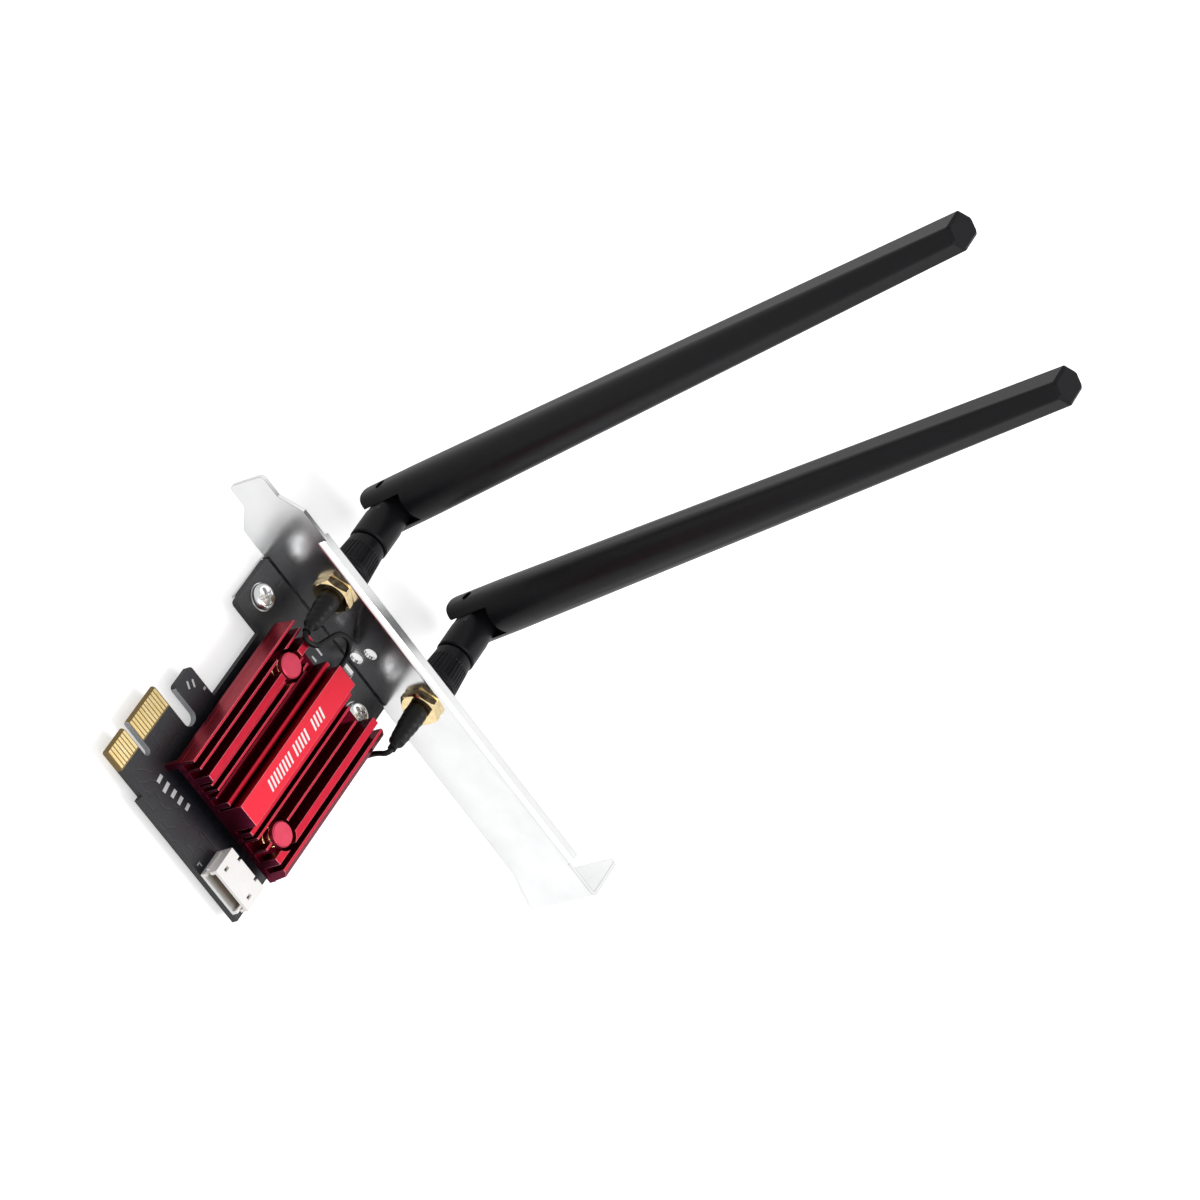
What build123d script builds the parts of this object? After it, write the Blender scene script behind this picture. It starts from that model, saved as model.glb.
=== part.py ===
# A PCIe x1 wireless network card: board, slot bracket, heatsink, coaxial pigtails and two hinged antennas.
# Frame: +X out through the slot bracket, +Y into the motherboard's slot, +Z off the component side.
# Origin: centre of the key notch on the mating edge, at half the board's thickness. Millimetres and degrees.
import os
from math import cos, pi, radians, sin, tan

from build123d import *

# Board, with X from the key notch and Y from the mating edge
board_thickness = 1.57
tongue_near = 12.15
tongue_far = 8.15
key_width = 1.9
key_depth = 8.25
mating_bevel = 0.45
board_far = 9.45
board_depth = 46.3
board_shoulder = 12.3
board_gap = 0.4
tab_reach = 3.85
guide_tab_start = 16.1
guide_tab_width = 6.85
bracket_tab_start = 43.2
slot_round = 1.7
tab_round = 1.0

# Edge contacts
contact_pitch = 1.0
contact_width = 0.7
contact_length = 4.6
contact_thickness = 0.05
contact_from_key = 1.5
contacts_near = 11
contacts_far = 7

# Slot bracket: outer face from the key notch, heights from the component side
bracket_face = 58.45
sheet = 0.86
bend_inside = 0.4
bracket_length = 120.02
tongue_drop = 14.65
body_width = 18.42
body_below = 0.8
slot_tongue_width = 10.19
slot_tongue_length = 5.6
slot_tongue_offset = 0.6
slot_tongue_corner = 1.2
shoulder_length = 5.2
flange_depth = 11.43
flange_flare = 2.55
flange_inset = 2.4
flare_length = 10.3
flange_corner = 1.6
notch_width = 4.42
notch_depth = 6.5
notch_from_bend = 6.4
lip_height = 2.3
lip_inset = 1.7
lip_start = 18.8
lip_length = 91.5
lamp_hole = 3.0
lamp_hole_drop = 33.05
lamp_hole_heights = (2.3, 6.6)
tab_width = 9.0
tab_length = 12.4

# Bracket screws
screw_inset = 8.1
screw_drops = (8.05, 41.65)
screw_shank = 2.9
screw_head = 5.8
screw_head_height = 1.7
screw_length = 3.4
screw_clearance = 0.15
recess_width = 0.75
recess_span = 3.2
recess_depth = 1.0

# Heatsink, an extrusion with its fins along X; offsets run from its face on the slot side.
# A thin fin has its middle, its height and how far it stops short of the bracket end.
# A bar has its start, its width and its height.
sink_start = 1.05
sink_length = 44.2
sink_width = 33.4
sink_drop = 12.55
sink_gap = 3.0
sink_base = 1.7
fin_draft = 0.06
thin_fin = 0.62
thin_fins = ((2.8, 3.9, 0.0), (7.25, 3.5, 4.1), (8.7, 4.1, 4.6),
             (10.4, 2.1, 4.6), (22.4, 4.2, 3.0), (25.5, 4.2, 4.0))
bar_fins = ((4.8, 1.7, 4.6), (13.85, 5.55, 6.4), (20.3, 1.2, 3.6), (28.0, 1.8, 4.6))
round_fin_offset = 12.1
round_fin_width = 1.25
round_fin_height = 4.0
side_wall = 0.95
side_wall_height = 3.8
side_wall_lean = 0.45
outer_wall = 2.3
outer_wall_height = 4.4
outer_wall_fall = 0.75
outer_wall_lean = 0.5
foot_size = 1.3

# Push pins that hold the heatsink
pin_places = ((36.65, -18.35), (6.75, -38.85))
pin_head = 5.6
pin_head_height = 1.4
pin_shank = 2.5
pin_hole = 3.1
pin_pocket = 7.2
pin_spring_space = 3.2
barb_diameter = 3.7
barb_length = 2.6
barb_slit = 0.7
spring_wire = 0.5
spring_diameter = 4.4
spring_turns = 2.5
spring_steps = 12
spring_seat = 0.03

# Radio parts under the heatsink
can_center = (22.0, -29.2)
can_size = (19.0, 17.0)
can_height = 2.0
can_sheet = 0.2
chip_size = 9.0
chip_height = 0.9
pad_size = 14.0
socket_places = ((37.2, -30.2), (32.6, -39.6))
socket_base = 2.6
socket_base_height = 0.45
socket_barrel = 2.0
socket_height = 1.3
plug_ring = 2.7
plug_height = 2.1
plug_tail = 2.6
plug_tail_width = 1.5
fit_gap = 0.02

# Side-entry header at the far corner
header_back = -2.25
header_length = 7.15
header_start = 33.35
header_width = 11.2
header_height = 4.75
header_wall = 0.75
header_floor = 1.7
header_slot_width = 0.7
header_slot_length = 1.4
header_slot_inset = 1.7
header_notch_inset = 2.8
header_notch_depth = 0.9
header_pins = 4
header_pitch = 2.0
header_pin = 0.5
header_pin_height = 2.3
header_foot = 1.2

# Lamp behind the lower bracket hole
lamp_size = (1.0, 2.6, 0.7)
lamp_gap = 1.2
lamp_offset = 0.8

# Bulkhead jacks, X from the bracket's outer face
jack_drop = 16.2
jack_pitch = 31.76
jack_height = 10.05
jack_thread = 6.35
jack_hole = 6.55
jack_reach = 11.4
jack_socket = 4.7
jack_socket_depth = 2.0
jack_core = 4.1
collar_flats = 8.0
collar_thickness = 2.2
crimp_diameter = 3.6
crimp_length = 5.0
washer_diameter = 9.2
washer_thickness = 0.55
nut_flats = 8.0
nut_thickness = 2.1
contact_pin = 0.9

# Boots and pigtail cables
cable_diameter = 1.2
boot_diameter = 4.9
boot_tip = 1.9
boot_lengths = (10.8, 12.3)
boot_taper = 2.0
boot_slim = 0.8
cable_floor = 1.35
cable_lead = 2.5
plug_turns = (20, -50)

# Where the pigtails bend: X and Y from the boot's end, and the share of the way down from jack to plug
first_bends = ((-1.8, 0, 0), (-0.6, -3.8, 0), (8.65, -7.2, 0.195),
               (11.75, -11.6, 0.505), (10.65, -15.0, 0.875), (5.25, -15.2, 1))
second_bends = ((-1.5, 0, 0), (-1.4, 0.9, 0.345), (-1.9, 1.1, 1))

# Antennas, X from the bracket's outer face; the rod stands at a right angle to the jack
swivel_rest = (-6.6, -4.5)
lean_rest = (0.45, -0.15)
pivot_reach = 28.0
sleeve_start = 3.2
sleeve_end = 13.95
sleeve_wide = 9.7
sleeve_narrow = 8.1
sleeve_ribs = 20
rib_depth = 0.22
rib_width = 0.5
rib_length = 7.4
thread_clearance = 0.05
coupling_diameter = 7.3
coupling_show = 0.25
coupling_end = 13.1
coupling_lip = 0.8
stem_diameter = 5.3
stem_length = 4.6
base_diameter = 8.7
seam_gap = 0.2
elbow_tongue = 7.2
tongue_gap = 0.15
ear_back = 6.0
ear_relief = 0.4
fork_relief = 2.9
rod_length = 175.8
rod_round = 11.5
rod_round_corner = 5.2
rod_straight = 9.0
tip_points = 8.5
tip_flats = 6.2
tip_flat_width = 5.7
tip_corner = 0.7
tip_chamfer = 0.6
hinge_pin = 2.4
hinge_pin_recess = 0.7
hinge_clearance = 0.05
rod_bore = 4.0
bore_start = 13.0
bore_end_wall = 4.0
radiator_sleeve = 3.6
radiator_sleeve_length = 48.0
radiator_whip = 1.4
radiator_whip_length = 62.0

# Levels and faces that several pieces share
board_top = board_thickness / 2
board_under = -board_thickness / 2
bracket_inner = bracket_face - sheet
board_near = bracket_inner - board_gap
tab_under = board_under - sheet
tongue_tip = tongue_drop
flange_outer = tongue_tip - bracket_length
body_low = board_top - body_below
body_high = body_low + body_width
lip_outer = body_high - lip_inset
screw_x = bracket_inner - screw_inset
sink_end = sink_start + sink_length
sink_low = board_top + sink_gap
sink_floor = sink_low + sink_base
pin_head_low = sink_floor + pin_spring_space
jack_z = board_top + jack_height
jack_places = [-jack_drop - jack_pitch * count for count in range(2)]
can_top = board_top + can_height
collar_back = bracket_inner - collar_thickness
boot_ends = [collar_back - length for length in boot_lengths]
pivot_x = bracket_face + pivot_reach

made = {}


def block(x0, x1, y0, y1, z0, z1):
    """A box between two corners."""
    return Pos((x0 + x1) / 2, (y0 + y1) / 2, (z0 + z1) / 2) * Box(x1 - x0, y1 - y0, z1 - z0)


def post(x, y, z0, z1, diameter):
    """An upright cylinder."""
    return Pos(x, y, (z0 + z1) / 2) * Cylinder(diameter / 2, z1 - z0)


def shaft(x0, x1, y, z, diameter):
    """A cylinder along X."""
    return Pos((x0 + x1) / 2, y, z) * Rot(0, 90, 0) * Cylinder(diameter / 2, x1 - x0)


def face_of(points):
    """A flat face inside a closed run of points."""
    return make_face(Polyline(*points, close=True))


def rounded(face, rounds):
    """The face with some corners rounded: each entry is a point and its radius."""
    for point, radius in rounds:
        corner = face.vertices().sort_by(lambda vertex: (vertex.center() - Vector(*point)).length)[0]
        face = fillet(corner, radius)
    return face


def turned(points):
    """A solid of revolution about X from points of distance along X and radius."""
    return revolve(face_of(points), Axis.X)


def turned_up(points):
    """A solid of revolution about Z from points of radius and height."""
    return revolve(face_of([(radius, 0, height) for radius, height in points]), Axis.Z)


def hexagon(x0, x1, flats):
    """A hexagon bar along X, by its width across flats, with its corners turned back at both ends."""
    bar = extrude(RegularPolygon(flats / 2, 6, major_radius=False), x1 - x0)
    corner = flats / 2 / cos(radians(30))
    face = 0.96 * flats / 2
    fall = (corner - face) * tan(radians(30))
    barrel = turned([(x0, 0), (x0, face), (x0 + fall, corner), (x1 - fall, corner), (x1, face), (x1, 0)])
    return Pos(x0, 0, 0) * Rot(0, 90, 0) * bar & barrel


def at_jack(solid, y):
    """Places a solid that was made about the X axis on a jack's axis."""
    return Pos(0, y, jack_z) * solid


def board():
    """Board with mating tongue, key notch, guide tab and bracket tab, and its drilled holes."""
    guide_tab_end = guide_tab_start + guide_tab_width
    edge = face_of([
        (-board_far, -board_depth), (board_near, -board_depth), (board_near, -tab_reach),
        (bracket_tab_start, -tab_reach), (bracket_tab_start, -board_shoulder),
        (guide_tab_end, -board_shoulder), (guide_tab_end, -tab_reach),
        (guide_tab_start, -tab_reach), (guide_tab_start, -board_shoulder),
        (tongue_near, -board_shoulder), (tongue_near, 0), (-tongue_far, 0),
        (-tongue_far, -board_shoulder), (-board_far, -board_shoulder)])
    edge = rounded(edge, [
        ((guide_tab_start, -board_shoulder, 0), slot_round), ((tongue_near, -board_shoulder, 0), slot_round),
        ((guide_tab_end, -tab_reach, 0), tab_round), ((guide_tab_start, -tab_reach, 0), tab_round),
        ((bracket_tab_start, -tab_reach, 0), tab_round)])
    plate = Pos(0, 0, board_under) * extrude(edge, board_thickness, dir=(0, 0, 1))
    mating_edges = plate.edges().filter_by(Axis.X).group_by(Axis.Y)[-1]
    plate = chamfer(mating_edges, mating_bevel)
    key_round = key_depth - key_width / 2
    plate -= block(-key_width / 2, key_width / 2, -key_round, 1, board_under - 1, board_top + 1)
    plate -= post(0, -key_round, board_under - 1, board_top + 1, key_width)
    for drop in screw_drops:
        plate -= post(screw_x, -drop, board_under - 1, board_top + 1, screw_shank + 2 * screw_clearance)
    for x, y in pin_places:
        plate -= post(x, y, board_under - 1, board_top + 1, pin_hole)
    return plate


def edge_contacts(z0, z1):
    """One side's gold contacts: a long row on the bracket side of the key and a short one beyond it."""
    places = [contact_from_key + contact_pitch * count for count in range(contacts_near)]
    places += [-contact_from_key - contact_pitch * count for count in range(contacts_far)]
    half = contact_width / 2
    last = -mating_bevel
    first = last - contact_length
    return [block(x - half, x + half, first, last, z0, z1) for x in places]


def bracket():
    """Sheet bracket: an L in side view cut to its front outline, with a folded lip and two board tabs."""
    bend_outside = bend_inside + sheet
    flange_inner = flange_outer + sheet
    flange_end = bracket_face + flange_depth
    side = face_of([
        (bracket_inner, tongue_tip), (bracket_face, tongue_tip), (bracket_face, flange_inner),
        (flange_end, flange_inner), (flange_end, flange_outer), (bracket_inner, flange_outer)])
    side = rounded(side, [((bracket_face, flange_inner, 0), bend_inside),
                          ((bracket_inner, flange_outer, 0), bend_outside)])
    flare_low = body_low - flange_flare
    flange_high = body_high - flange_inset
    lip_top = tongue_tip - lip_start
    lip_bottom = lip_top - lip_length
    folded = Pos(0, 0, flare_low) * extrude(side, body_high - flare_low, dir=(0, 0, 1))

    tongue_middle = (body_low + body_high) / 2 + slot_tongue_offset
    tongue_low = tongue_middle - slot_tongue_width / 2
    tongue_high = tongue_middle + slot_tongue_width / 2
    neck = tongue_tip - slot_tongue_length
    shoulder = neck - shoulder_length
    front = face_of([
        (bracket_inner, tongue_tip, tongue_low), (bracket_inner, tongue_tip, tongue_high),
        (bracket_inner, neck, tongue_high), (bracket_inner, shoulder, body_high),
        (bracket_inner, lip_bottom, body_high), (bracket_inner, lip_bottom, flange_high),
        (bracket_inner, flange_outer, flange_high), (bracket_inner, flange_outer, flare_low),
        (bracket_inner, flange_outer + flare_length, body_low), (bracket_inner, shoulder, body_low),
        (bracket_inner, neck, tongue_low)])
    front = rounded(front, [((bracket_inner, tongue_tip, tongue_low), slot_tongue_corner),
                            ((bracket_inner, tongue_tip, tongue_high), slot_tongue_corner)])
    plate = folded & extrude(front, sheet + flange_depth, dir=(1, 0, 0))

    lip_root = lip_outer - 3 * sheet
    lip_edge = bracket_face + lip_height
    lip_profile = face_of([
        (bracket_inner, lip_bottom, lip_root), (bracket_face, lip_bottom, lip_root),
        (bracket_face, lip_bottom, lip_outer - sheet), (lip_edge, lip_bottom, lip_outer - sheet),
        (lip_edge, lip_bottom, lip_outer), (bracket_inner, lip_bottom, lip_outer)])
    lip_profile = rounded(lip_profile, [((bracket_face, lip_bottom, lip_outer - sheet), bend_inside),
                                        ((bracket_inner, lip_bottom, lip_outer), bend_outside)])
    plate -= block(bracket_inner - 1, bracket_face + 1, lip_bottom, lip_top, lip_root, body_high + 1)
    plate += extrude(lip_profile, lip_length, dir=(0, 1, 0))

    tab_root = body_low + 3 * sheet
    for drop in screw_drops:
        tab_bottom = -drop - tab_width / 2
        tab_profile = face_of([
            (bracket_inner, tab_bottom, tab_root), (bracket_face, tab_bottom, tab_root),
            (bracket_face, tab_bottom, tab_under), (bracket_inner - tab_length, tab_bottom, tab_under),
            (bracket_inner - tab_length, tab_bottom, board_under), (bracket_inner, tab_bottom, board_under)])
        tab_profile = rounded(tab_profile, [((bracket_face, tab_bottom, tab_under), bend_outside),
                                            ((bracket_inner, tab_bottom, board_under), bend_inside)])
        plate += extrude(tab_profile, tab_width, dir=(0, 1, 0))
        plate -= post(screw_x, -drop, tab_under - 1, board_under + 1, screw_shank + 2 * thread_clearance)

    for y in jack_places:
        plate -= shaft(bracket_inner - 1, bracket_face + 1, y, jack_z, jack_hole)
    for height in lamp_hole_heights:
        plate -= shaft(bracket_inner - 1, bracket_face + 1, -lamp_hole_drop, board_top + height, lamp_hole)

    notch_x = bracket_face + notch_from_bend
    notch_end = flare_low + notch_depth - notch_width / 2
    half = notch_width / 2
    plate -= block(notch_x - half, notch_x + half, flange_outer - 1, flange_inner + 1,
                   flare_low - 1, notch_end)
    plate -= Pos(notch_x, flange_outer, notch_end) * Rot(90, 0, 0) * Cylinder(half, 4 * sheet)
    corners = plate.edges().filter_by(Axis.Y).group_by(Axis.X)[-1]
    return chamfer(corners, flange_corner)


def bracket_screws():
    """Pan-head cross-recess screws that clamp the board to the bracket's tabs."""
    crown = screw_head_height * 0.6
    screws = []
    for drop in screw_drops:
        head = post(screw_x, -drop, board_top, board_top + screw_head_height, screw_head)
        head = fillet(head.edges().group_by(Axis.Z)[-1], crown)
        screw = head + post(screw_x, -drop, board_top - screw_length, board_top, screw_shank)
        top = board_top + screw_head_height
        for turn in (0, 90):
            slot = Box(recess_span, recess_width, 2 * recess_depth)
            screw -= Pos(screw_x, -drop, top) * Rot(0, 0, turn + 20) * slot
        screws.append(screw)
    return screws


def fin_face(offset, width, height, lean=fin_draft):
    """One fin's section, standing on the valley floor, a little narrower at its top."""
    y = -sink_drop - offset
    root = sink_floor - sink_base / 2
    top = sink_floor + height
    return face_of([(sink_start, y, root), (sink_start, y - lean, top),
                    (sink_start, y - width + lean, top), (sink_start, y - width, root)])


def heatsink():
    """Extruded fins on a base plate, milled round the two push pins, with two corner feet on the board."""
    y0 = -sink_drop
    y1 = y0 - sink_width
    section = face_of([(sink_start, y0, sink_low), (sink_start, y0 - side_wall_lean / 4, sink_floor),
                       (sink_start, y1, sink_floor), (sink_start, y1, sink_low)])
    side_top = sink_floor + side_wall_height
    section += face_of([
        (sink_start, y0, sink_low), (sink_start, y0 - side_wall_lean, side_top),
        (sink_start, y0 - side_wall, side_top), (sink_start, y0 - side_wall - fin_draft, sink_low)])
    outer_top = sink_floor + outer_wall_height
    section += face_of([
        (sink_start, y1 + outer_wall, sink_low), (sink_start, y1 + outer_wall - fin_draft, outer_top),
        (sink_start, y1 + outer_wall - thin_fin, outer_top),
        (sink_start, y1 + outer_wall_lean, outer_top - outer_wall_fall), (sink_start, y1, sink_low)])
    for offset, width, height in bar_fins:
        section += fin_face(offset, width, height)
    body = extrude(section, sink_length, dir=(1, 0, 0))
    for offset, height, short in thin_fins:
        fin = fin_face(offset - thin_fin / 2, thin_fin, height)
        body += extrude(fin, sink_length - short, dir=(1, 0, 0))

    crest_face = fin_face(round_fin_offset, round_fin_width, round_fin_height, 0)
    crest = extrude(crest_face, sink_length, dir=(1, 0, 0))
    crest = fillet(crest.edges().filter_by(Axis.X).group_by(Axis.Z)[-1], round_fin_width * 0.45)
    body += crest

    for x, y in pin_places:
        body -= post(x, y, sink_floor, sink_floor + 2 * pin_spring_space + pin_head_height, pin_pocket)
        body -= post(x, y, sink_low - 1, sink_floor + 1, pin_hole)
    for x0, y in ((sink_start, y0), (sink_end - foot_size, y1 + foot_size)):
        body += block(x0, x0 + foot_size, y - foot_size, y, board_top, sink_low)
    return body


def push_pins():
    """Spring pins: flat head, shank through heatsink and board, and a slit barb that grips below."""
    head_top = pin_head_low + pin_head_height
    tip = board_under - barb_length
    pins = []
    for x, y in pin_places:
        pin = turned_up([
            (0, tip), (pin_shank * 0.3, tip), (barb_diameter / 2, board_under - barb_length * 0.4),
            (barb_diameter / 2, board_under), (pin_shank / 2, board_under), (pin_shank / 2, pin_head_low),
            (pin_head / 2, pin_head_low), (pin_head / 2, head_top - 0.3), (pin_head / 2 - 0.3, head_top),
            (0, head_top)])
        pin -= block(-barb_slit / 2, barb_slit / 2, -barb_diameter, barb_diameter, tip - 1, board_under)
        pins.append(Pos(x, y, 0) * pin)
    return pins


def pin_springs():
    """Compression springs between the heatsink's floor and the pin heads, coiled in short straight runs."""
    radius = (spring_diameter - spring_wire) / 2
    low = sink_floor + spring_wire / 2 + spring_seat
    height = pin_spring_space - spring_wire - 2 * spring_seat
    steps = round(spring_turns * spring_steps)
    turns = [2 * pi * step / spring_steps for step in range(steps + 1)]
    coil = Polyline(*[(radius * cos(turn), radius * sin(turn), height * step / steps)
                      for step, turn in enumerate(turns)])
    section = Plane(coil @ 0, z_dir=coil % 0) * Circle(spring_wire / 2)
    wire = sweep(section, path=coil, transition=Transition.RIGHT)
    return [Pos(x, y, low) * wire for x, y in pin_places]


def shield_can():
    """Drawn sheet can over the radio chip, open below."""
    x, y = can_center
    half_x, half_y = can_size[0] / 2, can_size[1] / 2
    shell = block(x - half_x, x + half_x, y - half_y, y + half_y, board_top, can_top)
    shell = fillet(shell.edges().filter_by(Axis.Z), 0.8)
    inner_x, inner_y = half_x - can_sheet, half_y - can_sheet
    shell -= block(x - inner_x, x + inner_x, y - inner_y, y + inner_y, board_top - 1, can_top - can_sheet)
    return shell


def square_at_can(size, z0, z1):
    """A square slab centred under or over the shield can."""
    x, y = can_center
    return block(x - size / 2, x + size / 2, y - size / 2, y + size / 2, z0, z1)


def aerial_sockets():
    """Miniature coaxial sockets on the board."""
    sockets = []
    for x, y in socket_places:
        half = socket_base / 2
        base_top = board_top + socket_base_height
        socket = block(x - half, x + half, y - half, y + half, board_top, base_top)
        barrel = post(x, y, base_top, board_top + socket_height, socket_barrel)
        barrel -= post(x, y, base_top, board_top + socket_height, socket_barrel * 0.75)
        core = post(x, y, base_top, board_top + socket_height, socket_barrel * 0.25)
        sockets.append(socket + barrel + core)
    return sockets


def aerial_plugs():
    """Snap caps on the pigtails' ends, each with a crimp tail towards its cable."""
    plugs = []
    for (x, y), turn in zip(socket_places, plug_turns):
        low = board_top + socket_base_height + fit_gap
        high = board_top + plug_height
        cap = Pos(0, 0, (low + high) / 2) * Cylinder(plug_ring / 2, high - low)
        half = plug_tail_width / 2
        cap += block(0, plug_ring / 2 + plug_tail, -half, half, low, high)
        cap -= post(0, 0, low - 1, board_top + socket_height + fit_gap, socket_barrel + 2 * fit_gap)
        plugs.append(Pos(x, y, 0) * Rot(0, 0, turn) * cap)
    return plugs


def header_shroud():
    """White side-entry shroud, open away from the bracket, with key slots in its roof and sides."""
    x1 = header_back
    x0 = x1 - header_length
    y1 = -header_start
    y0 = y1 - header_width
    z1 = board_top + header_height
    shell = block(x0, x1, y0, y1, board_top, z1)
    shell -= block(x0 - 1, x1 - header_floor, y0 + header_wall, y1 - header_wall,
                   board_top + header_wall, z1 - header_wall)
    half = header_slot_width / 2
    for y in (y0 + header_slot_inset, y1 - header_slot_inset):
        shell -= block(x0 + 1.3 * header_slot_length, x0 + 2.3 * header_slot_length, y - half, y + half,
                       z1 - 2 * header_wall, z1 + 1)
    for y in (y0 + header_notch_inset, y1 - header_notch_inset):
        shell -= block(x1 - header_notch_depth, x1 + 1, y - half, y + half, z1 - 2 * header_wall, z1 + 1)
    middle = board_top + header_height / 2
    shell -= block(x0 - 1, x0 + 1.5 * header_slot_length, y0 - 1, y1 + 1,
                   middle - header_wall, middle + header_wall / 2)
    for y, z in pin_rows():
        half = header_pin / 2 + fit_gap
        shell -= block(x0, x1 + 1, y - half, y + half, z - half, z + half)
    return shell


def pin_rows():
    """Where the header's pins pass its back wall."""
    middle = -header_start - header_width / 2
    first = middle - header_pitch * (header_pins - 1) / 2
    return [(first + header_pitch * count, board_top + header_pin_height) for count in range(header_pins)]


def header_pin_set():
    """Bent square pins: a straight blade in the shroud, a leg behind it and a foot on the board."""
    half = header_pin / 2
    tip = header_back - header_length * 0.75
    leg = header_back + header_pin * 1.6
    pins = []
    for y, z in pin_rows():
        pin = block(tip, leg, y - half, y + half, z - half, z + half)
        pin += block(leg - header_pin, leg, y - half, y + half, board_top, z)
        pin += block(leg - header_pin, leg + header_foot, y - half, y + half,
                     board_top, board_top + header_pin)
        pins.append(pin)
    return pins


def jack(y):
    """Bulkhead jack: threaded barrel through the bracket, hexagon collar behind it and a crimp tube."""
    end = bracket_face + jack_reach
    body = hexagon(collar_back, bracket_inner, collar_flats)
    body += shaft(bracket_inner, end, 0, 0, jack_thread)
    body += shaft(collar_back - crimp_length, collar_back, 0, 0, crimp_diameter)
    body -= shaft(bracket_inner, end + 1, 0, 0, jack_core)
    body -= shaft(end - jack_socket_depth, end + 1, 0, 0, jack_socket)
    body -= shaft(collar_back - crimp_length - 1, bracket_inner + 1, 0, 0, cable_diameter + 2 * fit_gap)
    return at_jack(body, y)


def jack_insulator(y):
    """Insulating core round a jack's centre contact."""
    end = bracket_face + jack_reach - jack_socket_depth
    core = shaft(bracket_inner, end, 0, 0, jack_core - 2 * fit_gap)
    core -= shaft(bracket_inner - 1, end + 1, 0, 0, contact_pin + 2 * fit_gap)
    return at_jack(core, y)


def jack_contact(y):
    """A jack's centre contact."""
    end = bracket_face + jack_reach - jack_socket_depth / 2
    return at_jack(shaft(bracket_inner, end, 0, 0, contact_pin), y)


def jack_washer(y):
    """Lock washer with slanted teeth, against the bracket's outer face."""
    washer = shaft(bracket_face, bracket_face + washer_thickness, 0, 0, washer_diameter)
    washer -= shaft(bracket_face - 1, bracket_face + 1, 0, 0, jack_thread + 2 * thread_clearance)
    for count in range(12):
        tooth = Box(3 * washer_thickness, 0.6, 1.1)
        washer -= Pos(bracket_face, 0, 0) * Rot(count * 30, 0, 0) * Pos(0, 0, washer_diameter / 2) * tooth
    return at_jack(washer, y)


def jack_nut(y):
    """Hexagon nut that clamps a jack to the bracket."""
    start = bracket_face + washer_thickness
    nut = hexagon(start, start + nut_thickness, nut_flats)
    nut -= shaft(start - 1, start + nut_thickness + 1, 0, 0, jack_thread + 2 * thread_clearance)
    return at_jack(nut, y)


def boot(y, boot_end):
    """Tapered rubber boot over a jack's crimp tube and the start of its cable."""
    crimp_end = collar_back - crimp_length
    taper = boot_end + boot_taper
    outside = turned([
        (collar_back, 0), (collar_back, boot_diameter / 2 - 0.4), (collar_back - 0.4, boot_diameter / 2),
        (taper, boot_diameter / 2 - boot_slim), (boot_end, boot_tip / 2), (boot_end, 0)])
    outside -= shaft(crimp_end - fit_gap, collar_back + 1, 0, 0, crimp_diameter + 2 * fit_gap)
    outside -= shaft(boot_end - 1, collar_back, 0, 0, cable_diameter + 2 * fit_gap)
    return at_jack(outside, y)


def pigtail(points, radii):
    """A coaxial cable along straight runs joined by tangent arcs."""
    path = FilletPolyline(*points, radius=radii)
    section = Plane(path @ 0, z_dir=path % 0) * Circle(cable_diameter / 2)
    return sweep(section, path=path)


def antenna_sleeve():
    """Ribbed plastic sleeve round the metal coupling nut, narrower towards the antenna."""
    start = bracket_face + sleeve_start
    end = bracket_face + sleeve_end
    inner = coupling_diameter / 2
    body = turned([(start, inner), (start, sleeve_wide / 2 - 0.35), (start + 0.35, sleeve_wide / 2),
                   (end - 0.3, sleeve_narrow / 2), (end, sleeve_narrow / 2 - 0.3), (end, inner)])
    lean = (sleeve_wide - sleeve_narrow) / 2 / (end - start)
    for count in range(sleeve_ribs):
        middle = start + 1.2 + rib_length / 2
        radius = sleeve_wide / 2 - lean * (middle - start)
        groove = Box(rib_length, rib_width, 2 * rib_depth)
        groove = Pos(middle, 0, radius) * Rot(0, -lean * 180 / pi, 0).inverse() * groove
        body -= Rot(count * 360 / sleeve_ribs, 0, 0) * groove
    cap = bracket_face + coupling_end
    hole = stem_diameter / 2 + 0.3
    return body + turned([(cap, hole), (cap, inner), (end, inner), (end, hole)])


def antenna_coupling():
    """Metal coupling nut pressed into the sleeve, with an inner lip that holds the plug's collar."""
    start = bracket_face + sleeve_start - coupling_show
    end = bracket_face + coupling_end
    bore = jack_thread / 2 + thread_clearance
    return turned([(start, bore), (start, coupling_diameter / 2), (end, coupling_diameter / 2),
                   (end, stem_diameter / 2 + thread_clearance),
                   (end - coupling_lip, stem_diameter / 2 + thread_clearance), (end - coupling_lip, bore)])


def antenna_plug():
    """Plug core: a collar held by the coupling nut, a nose in the jack and a stem in the elbow base."""
    collar_end = bracket_face + coupling_end - coupling_lip - thread_clearance
    collar_start = bracket_face + jack_reach + fit_gap
    nose = bracket_face + jack_reach - jack_socket_depth + fit_gap
    stem_end = bracket_face + sleeve_end + seam_gap + stem_length
    tube = (jack_socket - 0.1) / 2
    bore = jack_core / 2 - 0.3
    collar = jack_thread / 2
    stem = stem_diameter / 2
    return turned([(nose, bore), (nose, tube), (collar_start, tube), (collar_start, collar),
                   (collar_end, collar), (collar_end, stem), (stem_end, stem), (stem_end, bore)])


def at_pivot(solid, side, lean=0):
    """Places a solid made about the hinge: X along the jack, Y along the hinge pin, Z along the rod."""
    turned_to = Rot(swivel_rest[side], 0, 0) * Rot(0, lean, 0)
    return Pos(pivot_x, jack_places[side], jack_z) * turned_to * solid


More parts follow.
